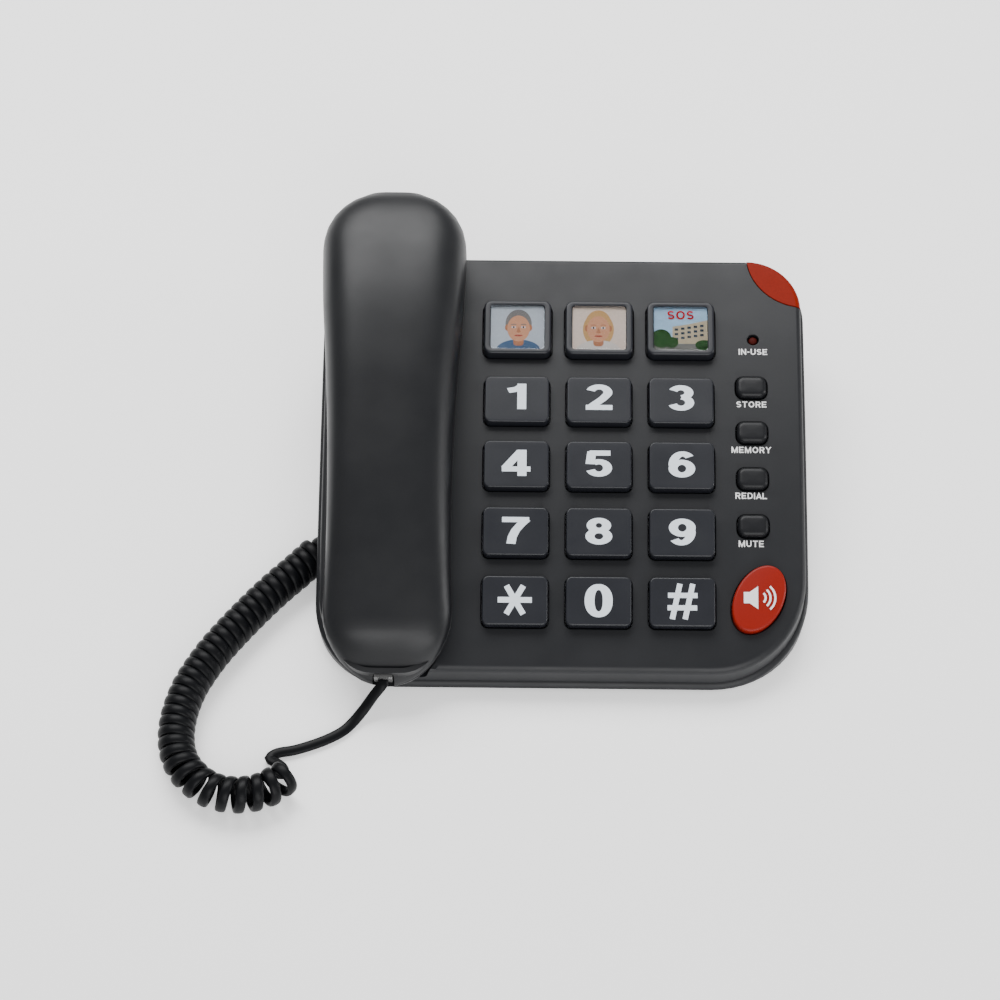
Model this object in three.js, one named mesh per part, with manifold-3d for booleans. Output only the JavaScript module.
// Corded desk phone with big keys: base, handset, curly cord.
// Millimetres, +X right, +Y to the rear, +Z up, the underside of the feet at z = 0.
import * as THREE from 'three';
import { mergeVertices } from 'three/addons/utils/BufferGeometryUtils.js';
import Module from 'manifold-3d';

const wasm = await Module();
wasm.setup();

// ---------------------------------------------------------------- driving dimensions

const base = {
  width: 206,
  depth: 187,
  corners: { frontLeft: 34, frontRight: 41, rearRight: 25, rearLeft: 20 },
  footHeight: 1.5,
  floor: 2.5, // thickness of the tub's floor
  wall: 2.4,
  draft: 0.09, // inward lean of the tub's walls, per millimetre of height
  lidInset: 1.9, // the tub stands this far out beyond the lid
  lidDepth: 8.6,
};
// The deck is an arc of a circle seen from the side, steep in front and nearly level behind.
const deck = { radius: 900, centreY: 171.5, frontY: -88.9, frontZ: 15, thickness: 2.5 };
const seamGap = 0.3; // between the lid and the tub, and wherever two pieces meet
const phoneShift = -6.9; // puts the middle of base and handset over the origin

const keyTravel = 1.8;
const keyDepth = 5.6; // from the deck's surface down to the key's foot
const matDepth = keyDepth + keyTravel + 1;
const matThickness = 1.2;
const digitKey = { width: 27.2, depth: 21, radius: 2.6, proud: 4 };
const pictureKey = {
  width: 28.6, depth: 25.2, radius: 3.2, proud: 4.6, window: [23.2, 20.8], windowDepth: 2.4,
};
const picture = { inset: 0.3, card: [-2.1, -1.7], pane: [-1.4, -0.2] }; // heights below the frame's top
const functionKey = { width: 12.8, depth: 9.6, radius: 3.2, proud: 2.6 };
const handsFreeKey = { long: 15.2, short: 10, turn: 63.5, proud: 3.2, x: 81.3, y: -61.8 };
const keyClearance = 0.45; // all round a key in its opening
const flange = { width: 1, thickness: 1.2 };
const columns = { middle: 14.9, pitch: 34.65 };
const rows = { first: 22.9, pitch: 28.92, pictures: 56 };
const functionKeys = { x: 79.3, first: 30.5, pitch: 20.45 };
const inUseLight = { x: 80.4, y: 53.1, radius: 2, top: -0.6, depth: 5.4 };
const cornerLens = { radius: 24.7, rise: 0.5 };

const lean = THREE.MathUtils.degToRad(11); // mean slope of the deck: pads, wells and lift lean with it
const handset = {
  x: -72.3,
  rearY: 110.5,
  frontY: -97,
  wall: 2.2,
  gap: 3.4, // between the deck and the grip's underside
  seam: 0.42, // height of the joint line between deck and crest
};
const earPad = { y: 77, width: 47, depth: 50, radius: 20, bottomZ: 42.5, height: 16 };
const mouthPad = { y: -73.5, width: 42, depth: 42, radius: 15, bottomZ: 12.3, height: 12 };
const wellClearance = 1.3;
const wellWall = 1.8;
const wellDrop = 1; // the well's floor lies this far below the pad's foot
const hookPlunger = { x: handset.x, y: 38, width: 9, depth: 6, proud: 3, stem: 13, clearance: 0.4 };

const plugClearance = 0.8;
const cordBay = { x: [-110, -66], y: [-45.5, -17], roof: 16.4, wall: 1.5 };
const plug = { width: 7.6, height: 6.6, length: 12 };
const baseSocket = { x: -63.7, y: -24, z: 9.5 };
// In the mouth pad's leaning frame: the mouth of the socket and the height of its middle.
const handsetSocket = { x: -1.2, y: -21, z: 5.6 };
const socketBlockSize = [12, 8.6, 13];
const socketHole = [8.4, 7.2, 11.5];
const lineJack = { x: 32, z: 16, width: 15, height: 13, depth: 16, socket: [10, 7.2, 11] };
const coil = { diameter: 15.5, sides: 10, steps: 22 };
const lead = { width: 4.2, thickness: 2.4 };

const foot = { radius: 6, height: 1.9, recess: 2.2, clearance: 0.4 };
const footPlaces = [
  { name: 'foot_front_left', x: -76, y: -70 }, { name: 'foot_front_right', x: 76, y: -70 },
  { name: 'foot_rear_left', x: -84, y: 76 }, { name: 'foot_rear_right', x: 80, y: 72 },
];
const loudspeaker = {
  x: 18, y: 40, radius: 25, height: 14, slots: 7, slotPitch: 6, slotWidth: 2.2, slotReach: 21,
};
const screw = { shank: 1.4, pilot: 1.75, head: 3, headDepth: 1.4, length: 9, recess: 0.3, clearance: 0.4 };
const screwPlaces = [
  { x: -34, y: 84 }, { x: 92, y: 48 }, { x: 92, y: -30 }, { x: -34, y: -82 },
];
const post = { base: 3.5, handset: 3.2, boss: 4.6 }; // radii of what the screws hold

const below = -20; // tools that cut right through start under the phone
const above = 90; // and end over it
const beyond = 120; // and reach past its sides

// ---------------------------------------------------------------- solids and booleans

function solid(geometry) {
  const plain = geometry.clone();
  plain.deleteAttribute('normal');
  plain.deleteAttribute('uv');
  const merged = mergeVertices(plain, 1e-4);
  return new wasm.Manifold(new wasm.Mesh({
    numProp: 3,
    vertProperties: new Float32Array(merged.attributes.position.array),
    triVerts: new Uint32Array(merged.index.array),
  }));
}

function geometryOf(manifold) {
  const mesh = manifold.getMesh();
  const geometry = new THREE.BufferGeometry();
  geometry.setAttribute('position', new THREE.BufferAttribute(new Float32Array(mesh.vertProperties), 3));
  geometry.setIndex(new THREE.BufferAttribute(new Uint32Array(mesh.triVerts), 1));
  return geometry;
}

const join = (first, ...others) => others.reduce((whole, piece) => whole.add(piece), first);
const cut = (first, ...tools) => tools.reduce((rest, tool) => rest.subtract(tool), first);
const common = (first, ...others) => others.reduce((shared, piece) => shared.intersect(piece), first);

// An upright prism of a plan outline.
function prism(shape, low, high, curveSegments = 6) {
  const geometry = new THREE.ExtrudeGeometry(shape, { depth: high - low, bevelEnabled: false, curveSegments });
  return geometry.translate(0, 0, low);
}

// A side profile drawn in (y, z) and extruded along X.
function sideways(shape, left, right, curveSegments = 6) {
  const geometry = new THREE.ExtrudeGeometry(shape, { depth: right - left, bevelEnabled: false, curveSegments });
  const turn = new THREE.Matrix4().makeBasis(
    new THREE.Vector3(0, 1, 0), new THREE.Vector3(0, 0, 1), new THREE.Vector3(1, 0, 0));
  return geometry.applyMatrix4(turn).translate(left, 0, 0);
}

function box(x, y, z) {
  const size = [x[1] - x[0], y[1] - y[0], z[1] - z[0]];
  const middle = [(x[0] + x[1]) / 2, (y[0] + y[1]) / 2, (z[0] + z[1]) / 2];
  return new THREE.BoxGeometry(...size).translate(...middle);
}

function cylinder(x, y, low, high, radius, sides = 16) {
  return new THREE.CylinderGeometry(radius, radius, high - low, sides)
    .rotateX(Math.PI / 2)
    .translate(x, y, (low + high) / 2);
}

function roundedRectangle(width, depth, radius) {
  const shape = new THREE.Shape();
  const right = width / 2 - radius;
  const rear = depth / 2 - radius;
  shape.absarc(right, rear, radius, 0, Math.PI / 2);
  shape.absarc(-right, rear, radius, Math.PI / 2, Math.PI);
  shape.absarc(-right, -rear, radius, Math.PI, Math.PI * 1.5);
  shape.absarc(right, -rear, radius, Math.PI * 1.5, Math.PI * 2);
  return shape;
}

// Closed body through rings of equal point count; the first and last ring are filled flat.
function loft(rings) {
  const count = rings[0].length;
  const positions = rings.flat().flatMap((point) => [point.x, point.y, point.z]);
  const faces = [];
  for (let ring = 0; ring + 1 < rings.length; ring += 1) {
    for (let k = 0; k < count; k += 1) {
      const next = (k + 1) % count;
      const a = ring * count + k;
      const b = ring * count + next;
      faces.push(a, b, b + count, a, b + count, a + count);
    }
  }
  const last = (rings.length - 1) * count;
  for (let k = 1; k + 1 < count; k += 1) {
    faces.push(0, k + 1, k);
    faces.push(last, last + k, last + k + 1);
  }
  const geometry = new THREE.BufferGeometry();
  geometry.setAttribute('position', new THREE.Float32BufferAttribute(positions, 3));
  geometry.setIndex(faces);
  return geometry;
}

// ---------------------------------------------------------------- the deck's arc and the base's outline

const arcCentreZ = deck.frontZ - Math.sqrt(deck.radius ** 2 - (deck.frontY - deck.centreY) ** 2);

function deckHeight(y, offset = 0) {
  return arcCentreZ + Math.sqrt((deck.radius + offset) ** 2 - (y - deck.centreY) ** 2);
}

function deckSlope(y) {
  return Math.asin((deck.centreY - y) / deck.radius);
}

// Side profile between two arcs concentric with the deck.
function arcBand(top, bottom, front, rear, steps = 10) {
  const ys = Array.from({ length: steps + 1 }, (_, k) => front + ((rear - front) * k) / steps);
  const upper = ys.map((y) => new THREE.Vector2(y, deckHeight(y, top))).reverse();
  const lower = ys.map((y) => new THREE.Vector2(y, deckHeight(y, bottom)));
  return new THREE.Shape([...lower, ...upper]);
}

// Side profile from a level line up to an arc of the deck.
function belowArc(offset, bottomZ, front, rear, steps = 10) {
  const ys = Array.from({ length: steps + 1 }, (_, k) => front + ((rear - front) * k) / steps);
  const upper = ys.map((y) => new THREE.Vector2(y, deckHeight(y, offset))).reverse();
  return new THREE.Shape([new THREE.Vector2(front, bottomZ), new THREE.Vector2(rear, bottomZ), ...upper]);
}

function baseOutline(inset) {
  const right = base.width / 2 - inset;
  const rear = base.depth / 2 - inset;
  const { frontLeft, frontRight, rearRight, rearLeft } = base.corners;
  const shape = new THREE.Shape();
  const corner = (sx, sy, radius, start) => {
    const r = radius - inset;
    shape.absarc(sx * (right - r), sy * (rear - r), r, start, start + Math.PI / 2);
  };
  corner(1, 1, rearRight, 0);
  corner(-1, 1, rearLeft, Math.PI / 2);
  corner(-1, -1, frontLeft, Math.PI);
  corner(1, -1, frontRight, Math.PI * 1.5);
  return shape;
}

// Space beneath the parting surface, with walls that lean in towards the floor.
function tubBody(inset, bottomZ, over = 0) {
  const partingZ = (y) => deckHeight(y, -base.lidDepth - seamGap);
  const headroom = 12; // the top ring stands clear above the parting surface, which then trims it
  const outline = (extra) => baseOutline(extra).getPoints(4);
  const level = outline(inset);
  const inner = outline(inset + 1);
  const ring = (heightOf) => level.map((point, k) => {
    const z = heightOf(point.y);
    const inward = (partingZ(point.y) - z) * base.draft;
    const step = inner[k].clone().sub(point).multiplyScalar(inward);
    return new THREE.Vector3(point.x + step.x, point.y + step.y, z);
  });
  const body = solid(loft([ring(() => bottomZ), ring((y) => partingZ(y) + headroom)]));
  const reach = base.depth / 2 + 5;
  const trim = belowArc(-base.lidDepth - seamGap + over, below, -reach, reach);
  return common(body, solid(sideways(trim, -beyond, beyond)));
}

function lidBody(inset, top, bottom) {
  const reach = base.depth / 2 + 5;
  const slab = solid(sideways(arcBand(top, bottom, -reach, reach, 12), -beyond, beyond));
  return common(solid(prism(baseOutline(base.lidInset + inset), below, above, 4)), slab);
}

// ---------------------------------------------------------------- places on the deck

function onDeck(geometry, x, y) {
  return geometry.clone().rotateX(deckSlope(y)).translate(x, y, deckHeight(y));
}

const column = (k) => columns.middle + (k - 1) * columns.pitch;
const row = (k) => rows.first - k * rows.pitch;

const digitNames = ['key_1', 'key_2', 'key_3', 'key_4', 'key_5', 'key_6', 'key_7', 'key_8', 'key_9',
  'key_star', 'key_0', 'key_hash'];
const functionNames = ['store_key', 'memory_key', 'redial_key', 'mute_key'];

function handsFreeOutline(grow) {
  const shape = new THREE.Shape();
  const turn = THREE.MathUtils.degToRad(handsFreeKey.turn);
  shape.absellipse(0, 0, handsFreeKey.long + grow, handsFreeKey.short + grow, 0, Math.PI * 2, false, turn);
  return shape;
}

function rectangularKeyOutline(size) {
  return (grow) => roundedRectangle(size.width + 2 * grow, size.depth + 2 * grow, size.radius + grow);
}

const keys = [
  ...digitNames.map((name, k) => ({
    name, x: column(k % 3), y: row(Math.floor(k / 3)), proud: digitKey.proud,
    outline: rectangularKeyOutline(digitKey),
  })),
  ...[1, 2, 3].map((number) => ({
    name: `picture_key_${number}`, x: column(number - 1), y: rows.pictures, proud: pictureKey.proud,
    outline: rectangularKeyOutline(pictureKey), framed: true,
  })),
  ...functionNames.map((name, k) => ({
    name, x: functionKeys.x, y: functionKeys.first - k * functionKeys.pitch, proud: functionKey.proud,
    outline: rectangularKeyOutline(functionKey),
  })),
  {
    name: 'hands_free_key', x: handsFreeKey.x, y: handsFreeKey.y, proud: handsFreeKey.proud,
    outline: handsFreeOutline, segments: 10,
  },
];

// ---------------------------------------------------------------- handset pads and cradle wells

// A pad leans with the deck: a prism along the lift direction with a flat foot.
function padBody(pad, grow, drop, height) {
  const outline = roundedRectangle(pad.width + 2 * grow, pad.depth + 2 * grow, pad.radius + grow);
  return prism(outline, -drop, height, 3).rotateX(lean).translate(handset.x, pad.y, pad.bottomZ);
}

function screwPost(place, top) {
  return solid(cylinder(place.x, place.y, base.footHeight + base.floor + seamGap, top, post.base, 12));
}


// ---------------------------------------------------------------- base shells

const throughDeck = [-6, 6]; // heights of a tool that cuts the deck, about its surface

function upperShell() {
  const shell = cut(lidBody(0, 0, -base.lidDepth), lidBody(base.wall, -deck.thickness, -base.lidDepth - 5));
  const inside = lidBody(0.2, 0, -base.lidDepth - 8); // the trays hang lower than the lid's skirt
  const trays = [earPad, mouthPad].map((pad) => common(
    solid(padBody(pad, wellClearance + wellWall, wellDrop + wellWall, 30)), inside));
  const wells = [earPad, mouthPad].map((pad) => solid(padBody(pad, wellClearance, wellDrop, above)));
  const posts = screwPlaces.map((place) => screwPost(place, deckHeight(place.y, -1)));
  const pilots = screwPlaces.map((place) => solid(
    cylinder(place.x, place.y, below, base.footHeight + base.floor + screw.length, screw.pilot, 12)));
  const openings = keys.map((key) => solid(
    onDeck(prism(key.outline(keyClearance), ...throughDeck, key.segments ?? 1), key.x, key.y)));
  const plungerSlot = solid(onDeck(
    prism(roundedRectangle(hookPlunger.width + 2 * hookPlunger.clearance,
      hookPlunger.depth + 2 * hookPlunger.clearance, 1.4), ...throughDeck, 2), hookPlunger.x, hookPlunger.y));
  const lightHole = solid(onDeck(
    cylinder(0, 0, ...throughDeck, inUseLight.radius + keyClearance, 16), inUseLight.x, inUseLight.y));
  const lensCut = solid(cylinder(base.width / 2, base.depth / 2, below, above, cornerLens.radius + seamGap, 32));
  return cut(join(shell, ...trays, ...posts), ...wells, ...pilots, ...openings, plungerSlot, lightHole, lensCut);
}

function lowerShell() {
  const inside = tubBody(base.wall, base.footHeight + base.floor, 3);
  const shell = cut(tubBody(0, base.footHeight), inside);
  const { x, y, roof, wall } = cordBay;
  const bayBlock = common(
    solid(box([x[0], x[1] + wall], [y[0] - wall, y[1] + wall], [base.footHeight, roof + wall])),
    tubBody(0.1, base.footHeight));
  const bay = solid(box(x, y, [below, roof]));
  const socketWindow = solid(box(
    [x[1] - 2, x[1] + wall + 2],
    [baseSocket.y - plug.width / 2 - plugClearance, baseSocket.y + plug.width / 2 + plugClearance],
    [baseSocket.z - plug.height / 2 - plugClearance, baseSocket.z + plug.height / 2 + plugClearance]));
  const lineWindow = solid(box(
    [lineJack.x - lineJack.width / 2 - seamGap, lineJack.x + lineJack.width / 2 + seamGap],
    [base.depth / 2 - lineJack.depth, beyond],
    [lineJack.z - lineJack.height / 2 - seamGap, lineJack.z + lineJack.height / 2 + seamGap]));
  const footRecesses = footPlaces.map((place) => solid(
    cylinder(place.x, place.y, below, foot.recess, foot.radius + foot.clearance, 16)));
  const screwHoles = screwPlaces.map((place) => join(
    solid(cylinder(place.x, place.y, below, cordBay.roof, screw.pilot, 12)),
    solid(cylinder(place.x, place.y, below, base.footHeight + screw.headDepth + seamGap,
      screw.head + screw.clearance, 16))));
  const trayRoom = solid(
    padBody(mouthPad, wellClearance + wellWall + seamGap, wellDrop + wellWall + seamGap, 30));
  return cut(join(shell, bayBlock), bay, socketWindow, lineWindow, trayRoom,
    ...footRecesses, ...screwHoles, ...speakerSlots());
}

function speakerSlots() {
  const { x, y, slots, slotPitch, slotWidth, slotReach } = loudspeaker;
  return Array.from({ length: slots }, (_, k) => {
    const away = (k - (slots - 1) / 2) * slotPitch;
    const half = Math.sqrt(slotReach ** 2 - away ** 2);
    return solid(box([x - half, x + half], [y + away - slotWidth / 2, y + away + slotWidth / 2], [0, 6]));
  });
}

// ---------------------------------------------------------------- keys and what lies under them

function keyBody(key) {
  const stem = solid(prism(key.outline(0), -keyDepth, key.proud, key.segments ?? 1));
  const top = -deck.thickness - seamGap - 0.1; // the flange stops under the flat key on the curved deck
  const skirt = solid(prism(key.outline(flange.width + keyClearance), top - flange.thickness, top,
    key.segments ?? 1));
  const whole = join(stem, skirt);
  if (!key.framed) return geometryOf(whole);
  const [width, depth] = pictureKey.window;
  return geometryOf(cut(whole, solid(prism(roundedRectangle(width, depth, 1.5),
    key.proud - pictureKey.windowDepth, key.proud + 1, 2))));
}

// The card or the clear pane in a picture key's window.
function pictureLayer([low, high]) {
  const [width, depth] = pictureKey.window.map((size) => size - 2 * picture.inset);
  return prism(roundedRectangle(width, depth, 1.2), pictureKey.proud + low, pictureKey.proud + high, 2);
}

function keyMat() {
  const sheet = solid(sideways(arcBand(-matDepth, -matDepth - matThickness, -77, 71.5, 8), -37, 87.5));
  const well = solid(onDeck(
    cylinder(0, 0, -14, 2, inUseLight.radius + 2 * keyClearance, 12), inUseLight.x, inUseLight.y));
  return geometryOf(cut(sheet, well));
}

function mainBoard() {
  const slope = lean + 0.02;
  return box([-30, 86], [-70, 58], [0, 1.6]).rotateX(slope).translate(0, 0, 21);
}

function hookSwitchBody() {
  const inner = solid(box([-8, 8], [-6, 6], [-20, -8.6]));
  const shaftHole = solid(box([-5, 5], [-3.5, 3.5], [-17, 0]));
  return geometryOf(cut(inner, shaftHole));
}

function hookPlungerBody() {
  const { width, depth, stem, proud } = hookPlunger;
  return prism(roundedRectangle(width, depth, 1), -stem, proud, 2);
}

function cornerLensBody() {
  const disc = solid(cylinder(base.width / 2, base.depth / 2, below, above, cornerLens.radius, 32));
  return geometryOf(common(lidBody(0, cornerLens.rise, -base.lidDepth), disc));
}

function socketBlock(width, height, depth, socket) {
  const [socketWidth, socketHeight, socketDepth] = socket;
  const block = solid(box([-width / 2, width / 2], [-depth, 0], [-height / 2, height / 2]));
  const hole = solid(box(
    [-socketWidth / 2, socketWidth / 2], [-socketDepth, 1], [-socketHeight / 2, socketHeight / 2]));
  return geometryOf(cut(block, hole));
}

function screwBody() {
  const profile = [[0, screw.recess], [screw.head, screw.recess], [screw.head, screw.headDepth],
    [screw.shank, screw.headDepth], [screw.shank, screw.length], [0, screw.length]];
  return new THREE.LatheGeometry(profile.map(([r, z]) => new THREE.Vector2(r, z)), 12).rotateX(Math.PI / 2);
}

// ---------------------------------------------------------------- handset

// Crest height and half width along the handset, from rear to front.
const crest = [[110.5, 64], [109, 71], [105, 75.8], [98, 78.8], [86, 80], [60, 78.6], [30, 73.4], [0, 65.6],
  [-30, 55.6], [-60, 43.2], [-78, 35.4], [-85, 31.9], [-90, 26], [-94, 18.5], [-97, 11.5]];
const halfWidth = [[82, 29.3], [60, 28.6], [36, 27.2], [10, 25.8], [-20, 25.2], [-45, 25.4], [-72, 26.4]];

function along(table, y) {
  const last = table.length - 1;
  if (y >= table[0][0]) return table[0][1];
  if (y <= table[last][0]) return table[last][1];
  const k = table.findIndex(([at], index) => index < last && y <= at && y >= table[index + 1][0]);
  const [y0, v0] = table[k];
  const [y1, v1] = table[k + 1];
  return v0 + ((v1 - v0) * (y0 - y)) / (y0 - y1);
}

function handsetHalfWidth(y, shrink) {
  const rearLength = handset.rearY - 82 - shrink;
  const frontLength = -72 - handset.frontY - shrink;
  const rear = y > 82 ? (y - 82) / rearLength : 0;
  const front = y < -72 ? (-72 - y) / frontLength : 0;
  const ratio = Math.min(Math.max(rear, front), 1);
  return (along(halfWidth, y) - shrink) * Math.sqrt(Math.max(1 - ratio ** 2.3, 0.0009));
}

function handsetSeam(y) {
  const crestHeight = along(crest, Math.max(Math.min(y, 100), -86));
  const deckBelow = deckHeight(Math.max(y, -86));
  const front = Math.max(-86 - y, 0);
  return deckBelow + (crestHeight - deckBelow) * handset.seam - front * 1.08;
}

function handsetUnderside(y) {
  const plain = deckHeight(y) + handset.gap;
  if (y > 96) {
    const ratio = Math.min((y - 96) / (handset.rearY - 96), 1);
    return plain + (handsetSeam(y) - 1 - plain) * (1 - Math.sqrt(1 - ratio ** 2));
  }
  const ratio = Math.min(Math.max((-91.8 - y) / 2.4, 0), 1);
  return plain + (9 - plain) * ratio;
}

function handsetSection(y, shrink) {
  const half = handsetHalfWidth(y, shrink);
  const seam = handsetSeam(y);
  const rise = Math.max(along(crest, y) - shrink - seam, 0.6);
  const fall = Math.max(seam - handsetUnderside(y) - shrink, 0.6);
  const count = 20;
  return Array.from({ length: count }, (_, k) => {
    const angle = (Math.PI * 2 * k) / count;
    const c = Math.cos(angle);
    const s = Math.sin(angle);
    const x = Math.sign(c) * Math.abs(c) ** 0.55;
    const z = Math.sign(s) * Math.abs(s) ** 0.7;
    return new THREE.Vector3(handset.x + x * half, y, seam + z * (s > 0 ? rise : fall));
  });
}

function handsetBody(shrink) {
  const rear = handset.rearY - shrink;
  const front = handset.frontY + shrink;
  const stations = [rear, rear - 0.6, rear - 2.5, rear - 6, rear - 12, rear - 20, 80, 60, 40, 20, 0, -20, -40, -58,
    -72, -80, -86, front + 6.5, front + 3, front + 0.8, front];
  return solid(loft(stations.map((y) => handsetSection(y, shrink))));
}

// Everything above the joint line of the two shells, or everything below it less the gap.
function seamSpace(above) {
  const ys = [120, 108, 100, 80, 60, 40, 20, 0, -20, -40, -60, -78, -86, -92, -105];
  const line = ys.map((y) => new THREE.Vector2(y, handsetSeam(y) - (above ? 0 : seamGap)));
  const far = above ? 130 : -40;
  const corners = [new THREE.Vector2(-105, far), new THREE.Vector2(120, far)];
  return solid(sideways(new THREE.Shape([...line, ...corners]), handset.x - 40, handset.x + 40));
}

const handsetScrews = [{ name: 'handset_screw_1', y: 40 }, { name: 'handset_screw_2', y: -40 }].map(
  (place) => ({ ...place, x: handset.x, z: handsetUnderside(place.y) + 1.2 }));

function inPad(geometry, pad) {
  return geometry.rotateX(lean).translate(handset.x, pad.y, pad.bottomZ);
}

function handsetShells() {
  const pads = [earPad, mouthPad];
  const outside = join(handsetBody(0), ...pads.map((pad) => solid(padBody(pad, 0, 0, pad.height))));
  const inside = join(handsetBody(handset.wall),
    ...pads.map((pad) => solid(padBody(pad, -handset.wall, -handset.wall, pad.height - 1))));
  const [width, height] = socketBlockSize;
  const jackWindow = solid(inPad(box(
    [handsetSocket.x - width / 2 - seamGap, handsetSocket.x + width / 2 + seamGap], [-45, -6.5],
    [handsetSocket.z - height / 2 - seamGap, handsetSocket.z + height / 2 + seamGap]), mouthPad));
  const hollow = cut(outside, inside);
  const posts = handsetScrews.map(({ x, y, z }) => solid(
    cylinder(x, y, z + 5, along(crest, y) - 1, post.handset, 12)));
  const bosses = handsetScrews.map(({ x, y, z }) => solid(cylinder(x, y, z - 1, z + 4.7, post.boss, 16)));
  const holes = handsetScrews.map(({ x, y, z }) => join(
    solid(cylinder(x, y, z - 9, z + screw.length + 1, screw.pilot, 12)),
    solid(cylinder(x, y, z - 9, z + screw.headDepth + seamGap, screw.head + screw.clearance, 16))));
  return {
    upper: cut(join(common(hollow, seamSpace(true)), ...posts), jackWindow, ...holes),
    lower: cut(join(common(hollow, seamSpace(false)), ...bosses), jackWindow, ...holes),
  };
}

// ---------------------------------------------------------------- cord

// The coil lies on the table: a wide bend out of the bay, round the front left and back towards the phone.
const coilRoute = [
  [-99.5, -28.5], [-104.6, -33.5], [-111.9, -41.5], [-118.7, -48.5], [-125.8, -56.5], [-132.5, -64.7],
  [-138.7, -72.7], [-144.1, -80.3], [-149, -88.5], [-153.5, -97.6], [-156.6, -108], [-157.8, -118],
  [-156.9, -127.4], [-153.6, -135.2], [-148.4, -140.9], [-142.4, -145], [-135.3, -146.9], [-128.5, -146.9],
  [-121.7, -145.2], [-115.6, -141.4], [-112.4, -136.2],
];
const coilHeight = coil.diameter / 2 + 0.15;
const handsetLeadRoute = [
  [-111.8, -135.2, 7.9], [-112.8, -131, 6], [-114.5, -126.5, 3.2], [-111, -122.6, 1.8], [-106.2, -121.6, 1.6],
  [-101.3, -120.1, 1.6], [-96.4, -117.9, 1.6], [-90, -114, 1.6], [-85.6, -109.6, 2.2], [-81.4, -105, 4.6],
  [-77.2, -101, 9.4], [-73.8, -98, 12.8], [-73.5, -96.4, 13.1],
];
const baseLeadRoute = [
  [-98.7, -27.7, 7.9], [-94, -25, 8.6], [-88, -24, 9.3], [-78, -24, 9.5], [-70.1, -24, 9.5],
];

function tube(points, section, steps) {
  const path = new THREE.CatmullRomCurve3(points.map((point) => new THREE.Vector3(...point)));
  return new THREE.ExtrudeGeometry(section, { steps, extrudePath: path, bevelEnabled: false });
}

function circleSection(radius, sides) {
  const corner = (k) => new THREE.Vector2(
    radius * Math.cos((2 * Math.PI * k) / sides), radius * Math.sin((2 * Math.PI * k) / sides));
  return new THREE.Shape(Array.from({ length: sides }, (_, k) => corner(k)));
}

function plugBody() {
  const half = plug.width / 2;
  return box([-half, half], [-plug.length, 0], [-plug.height / 2, plug.height / 2]);
}

function leadSection() {
  const shape = new THREE.Shape();
  const corner = (k) => new THREE.Vector2(
    (lead.thickness / 2) * Math.cos((Math.PI * k) / 4), (lead.width / 2) * Math.sin((Math.PI * k) / 4));
  shape.setFromPoints(Array.from({ length: 8 }, (_, k) => corner(k)));
  return shape;
}

// ---------------------------------------------------------------- assembly

const finish = (color, roughness, metalness = 0, opacity = 1) => new THREE.MeshStandardMaterial(
  { color, roughness, metalness, opacity, transparent: opacity < 1 });
const looks = {
  shell: finish(0x1c1d20, 0.5), key: finish(0x202226, 0.42), red: finish(0xc03020, 0.35),
  lens: finish(0xb83218, 0.2, 0, 0.8), rubber: finish(0x161616, 0.9), cord: finish(0x101114, 0.45),
  board: finish(0x1d5a34, 0.6), steel: finish(0x9a9ca0, 0.35, 1), clear: finish(0xd8e2ea, 0.1, 0, 0.35),
  card: finish(0xe8e6df, 0.85), silicone: finish(0xb9bcc0, 0.8), light: finish(0xa8482c, 0.3),
  dark: finish(0x0d0d0e, 0.6),
};

const phone = new THREE.Group();
phone.position.y = phoneShift;

function add(name, geometry, material, place = {}) {
  const mesh = new THREE.Mesh(geometry, material);
  mesh.name = name;
  mesh.position.set(place.x ?? 0, place.y ?? 0, place.z ?? 0);
  mesh.rotation.set(place.tiltX ?? 0, place.tiltY ?? 0, place.turnZ ?? 0);
  phone.add(mesh);
  return mesh;
}

const atDeck = (x, y) => ({ x, y, z: deckHeight(y), tiltX: deckSlope(y) });

add('base_lower_shell', geometryOf(lowerShell()), looks.shell);
add('base_upper_shell', geometryOf(upperShell()), looks.shell);
add('key_mat', keyMat(), looks.silicone);
add('main_board', mainBoard(), looks.board);
add('ring_lens', cornerLensBody(), looks.lens);
add('in_use_light', cylinder(0, 0, -inUseLight.depth, inUseLight.top, inUseLight.radius, 16), looks.light,
  atDeck(inUseLight.x, inUseLight.y));
add('loudspeaker', cylinder(0, 0, 0, loudspeaker.height, loudspeaker.radius, 24), looks.dark,
  { x: loudspeaker.x, y: loudspeaker.y, z: base.footHeight + base.floor + seamGap });
add('hook_switch', hookSwitchBody(), looks.dark, atDeck(hookPlunger.x, hookPlunger.y));
add('hook_plunger', hookPlungerBody(), looks.key, atDeck(hookPlunger.x, hookPlunger.y));
for (const place of footPlaces) {
  add(place.name, cylinder(0, 0, 0, foot.height, foot.radius, 16), looks.rubber, place);
}
screwPlaces.forEach((place, k) => {
  add(`base_screw_${k + 1}`, screwBody(), looks.steel, { ...place, z: base.footHeight });
});

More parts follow.
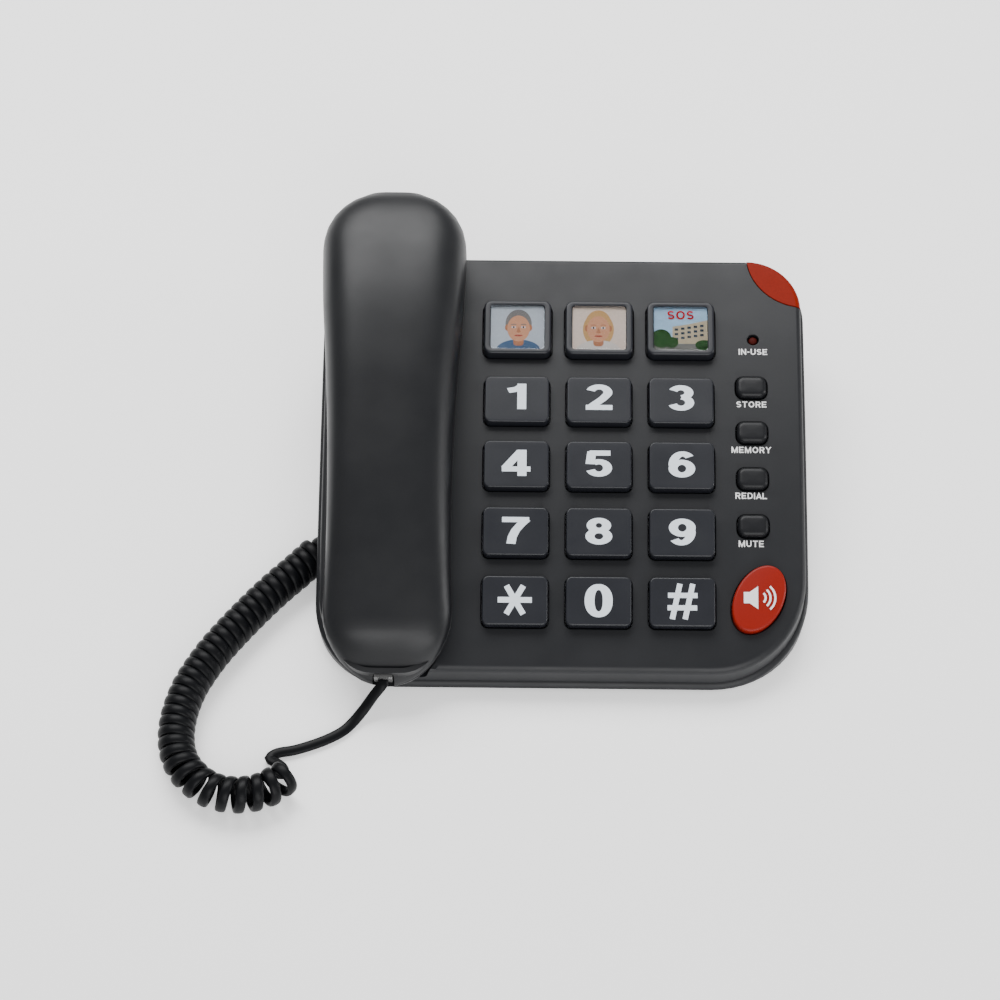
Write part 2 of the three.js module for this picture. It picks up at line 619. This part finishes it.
for (const key of keys) {
  const colour = key.name === 'hands_free_key' ? looks.red : looks.key;
  add(key.name, keyBody(key), colour, atDeck(key.x, key.y));
  if (key.framed) {
    const number = key.name.slice(-1);
    add(`picture_card_${number}`, pictureLayer(picture.card), looks.card, atDeck(key.x, key.y));
    add(`picture_window_${number}`, pictureLayer(picture.pane), looks.clear, atDeck(key.x, key.y));
  }
}

add('line_jack', socketBlock(lineJack.width, lineJack.height, lineJack.depth, lineJack.socket), looks.dark,
  { x: lineJack.x, y: base.depth / 2 - 3, z: lineJack.z });
add('base_cord_jack', socketBlock(socketBlockSize[0], 10, socketBlockSize[2], socketHole), looks.dark,
  { x: baseSocket.x, y: baseSocket.y, z: baseSocket.z, turnZ: Math.PI / 2 });
add('base_plug', plugBody(), looks.clear,
  { x: baseSocket.x + 6, y: baseSocket.y, z: baseSocket.z, turnZ: -Math.PI / 2 });

const shells = handsetShells();
const padPlace = (pad) => ({ x: handset.x, y: pad.y, z: pad.bottomZ, tiltX: lean });
add('handset_upper_shell', geometryOf(shells.upper), looks.shell);
add('handset_lower_shell', geometryOf(shells.lower), looks.shell);
add('receiver_capsule', cylinder(0, 0, handset.wall + seamGap, 9.5, 16, 24), looks.dark, padPlace(earPad));
add('microphone_capsule', cylinder(0, 2, handset.wall + seamGap, 8.5, 5, 16), looks.steel, padPlace(mouthPad));
add('handset_ballast', box([-10, 10], [-26, 26], [0, 5]), looks.steel,
  { x: handset.x, z: 43.6, tiltX: lean + 0.04 });
add('handset_jack', socketBlock(...socketBlockSize, socketHole).rotateZ(Math.PI).translate(
  handsetSocket.x, handsetSocket.y, handsetSocket.z), looks.dark, padPlace(mouthPad));
add('handset_plug', plugBody().rotateZ(Math.PI).translate(
  handsetSocket.x, handsetSocket.y - 1, handsetSocket.z), looks.clear, padPlace(mouthPad));
for (const place of handsetScrews) {
  add(place.name, screwBody(), looks.steel, place);
}

add('coil_cord', tube(coilRoute.map(([x, y]) => [x, y, coilHeight]),
  circleSection(coil.diameter / 2, coil.sides), coil.steps), looks.cord);
add('handset_lead', tube(handsetLeadRoute, leadSection(), 16), looks.cord);
add('base_lead', tube(baseLeadRoute, leadSection(), 6), looks.cord);

export default phone;
